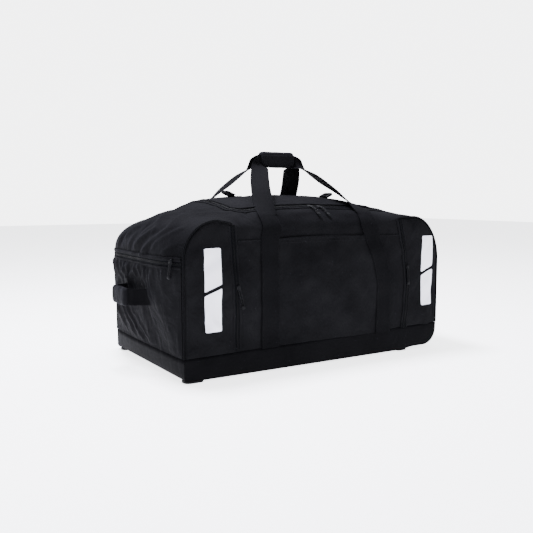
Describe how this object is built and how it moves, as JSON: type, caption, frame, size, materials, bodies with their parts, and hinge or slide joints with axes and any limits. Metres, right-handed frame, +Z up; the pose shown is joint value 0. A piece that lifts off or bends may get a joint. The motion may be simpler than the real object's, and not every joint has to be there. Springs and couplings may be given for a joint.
{
  "type": "wheeled duffel bag",
  "caption": "Large black polyester wheeled duffel bag with webbing carry handles, a padded end grab handle, arched zip pockets and light reflective bars.",
  "frame": {"origin": "on the floor, under the middle of the bag's bounding box", "axes": "+X from the grab handle end to the wheel end, -Y the front with the arched pockets, +Z up"},
  "size_m": [0.8682, 0.461, 0.545],
  "materials": {
    "polyester": "woven matt",
    "coated_cloth": "coated, slight sheen",
    "webbing": "ribbed matt",
    "zip_tape": "matt",
    "plastic": "satin",
    "rubber": "matt",
    "reflective": "reflective film"
  },
  "bodies": {
    "bag": {"front_panel": "polyester", "back_panel": "polyester", "end_panel_left": "polyester", "end_panel_right": "polyester", "lid": "polyester", "arch_pocket_left": "polyester", "zip_left": "zip_tape", "arch_pocket_right": "polyester", "zip_right": "zip_tape", "centre_pocket": "polyester", "piping_left_front": "webbing", "piping_left_back": "webbing", "piping_right_front": "webbing", "piping_right_back": "webbing", "lid_zip": "zip_tape", "base_tray": "coated_cloth", "wheel_housing_front": "plastic", "axle_front": "plastic", "skid_front": "rubber", "foot_front": "plastic", "wheel_housing_back": "plastic", "axle_back": "plastic", "skid_back": "rubber", "foot_back": "plastic", "end_zip": "zip_tape", "end_pocket": "polyester", "front_handle": "webbing", "back_handle": "webbing", "grip_wrap": "polyester", "grab_handle": "webbing", "grab_wrap": "polyester", "puller_left": "plastic", "puller_right": "plastic", "puller_lid_left": "plastic", "puller_lid_right": "plastic", "puller_end": "plastic", "ring_tab_left": "webbing", "ring_left": "plastic", "ring_tab_right": "webbing", "ring_right": "plastic", "reflector_left_upper": "reflective", "reflector_left_lower": "reflective", "reflector_right_upper": "reflective", "reflector_right_lower": "reflective"},
    "wheel_front_body": {"wheel_front": "rubber"},
    "wheel_back_body": {"wheel_back": "rubber"}
  },
  "joints": [
    {"name": "wheel_front_spin", "type": "hinge", "parent": "bag", "child": "wheel_front_body", "pos_m": [0.36707, -0.165, 0.032], "axis": [0, 1, 0], "continuous": true},
    {"name": "wheel_back_spin", "type": "hinge", "parent": "bag", "child": "wheel_back_body", "pos_m": [0.36707, 0.165, 0.032], "axis": [0, 1, 0], "continuous": true}
  ]
}
